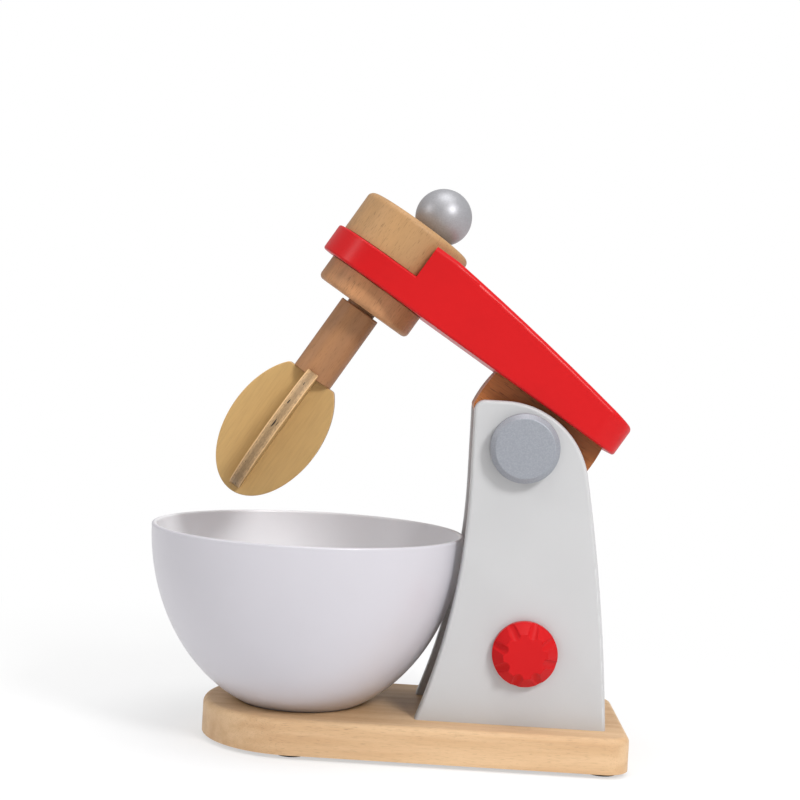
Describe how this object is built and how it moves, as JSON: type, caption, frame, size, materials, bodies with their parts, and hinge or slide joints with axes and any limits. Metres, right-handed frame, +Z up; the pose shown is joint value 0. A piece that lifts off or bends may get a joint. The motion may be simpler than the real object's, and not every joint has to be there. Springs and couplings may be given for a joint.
{
  "type": "toy stand mixer",
  "caption": "Wooden toy stand mixer with a red tilting arm, a hand-turned wooden beater, a white lift-out bowl, white side panels and a red dial.",
  "frame": {"origin": "on the floor, below the middle of the toy's overall box", "axes": "+X from the bowl towards the rear, +Y from the near panel with the dial to the far one, +Z up"},
  "size_m": [0.2288, 0.1492, 0.2671],
  "materials": {
    "white_paint": "satin white paint on wood",
    "red_paint": "gloss red paint on wood",
    "dial_red": "gloss red paint on wood",
    "grey_paint": "satin grey paint on wood",
    "silver_paint": "metallic grey paint on wood",
    "bowl_white": "semi-gloss",
    "dark_wood": "oiled",
    "beech": "clear satin lacquer",
    "maple": "clear satin lacquer",
    "plywood": "sanded, clear lacquer",
    "pad_rubber": "matt",
    "screw_steel": "zinc plated",
    "washer_plastic": "matt"
  },
  "bodies": {
    "stand": {"base_board": "maple", "foot_pads": "pad_rubber", "side_panel_near": "white_paint", "side_panel_far": "white_paint", "spacer_block": "beech", "spacer_dowels": "beech", "stop_dowel": "beech", "base_screws": "screw_steel"},
    "bowl": {"bowl": "bowl_white"},
    "head": {"arm": "red_paint", "pivot_block": "dark_wood", "block_dowels": "beech", "pivot_axle": "beech", "pivot_knob_near": "grey_paint", "pivot_knob_far": "grey_paint", "pivot_washers": "washer_plastic"},
    "whisk": {"crank_drum": "beech", "crank_ball": "silver_paint", "ball_pin": "beech", "drive_shaft": "beech", "lower_disc": "beech", "beater_stem": "beech", "beater_paddle_wide": "plywood", "beater_paddle_cross": "plywood"},
    "dial": {"dial": "dial_red", "dial_axle": "beech", "dial_cap": "beech", "dial_washer": "washer_plastic"}
  },
  "joints": [
    {"name": "head_tilt", "type": "hinge", "parent": "stand", "child": "head", "pos_m": [0.0594, 0, 0.146], "axis": [0, 1, 0], "range_deg": [-32.6, 0]},
    {"name": "whisk_spin", "type": "hinge", "parent": "head", "child": "whisk", "pos_m": [-0.02484, 0, 0.19988], "axis": [0.5388, 0, 0.8425], "continuous": true},
    {"name": "dial_turn", "type": "hinge", "parent": "stand", "child": "dial", "pos_m": [0.0648, -0.035, 0.0518], "axis": [0, 1, 0], "continuous": true},
    {"name": "bowl_lift", "type": "slide", "parent": "stand", "child": "bowl", "axis": [0, 0, 1], "range_m": [0, 0.02]}
  ]
}
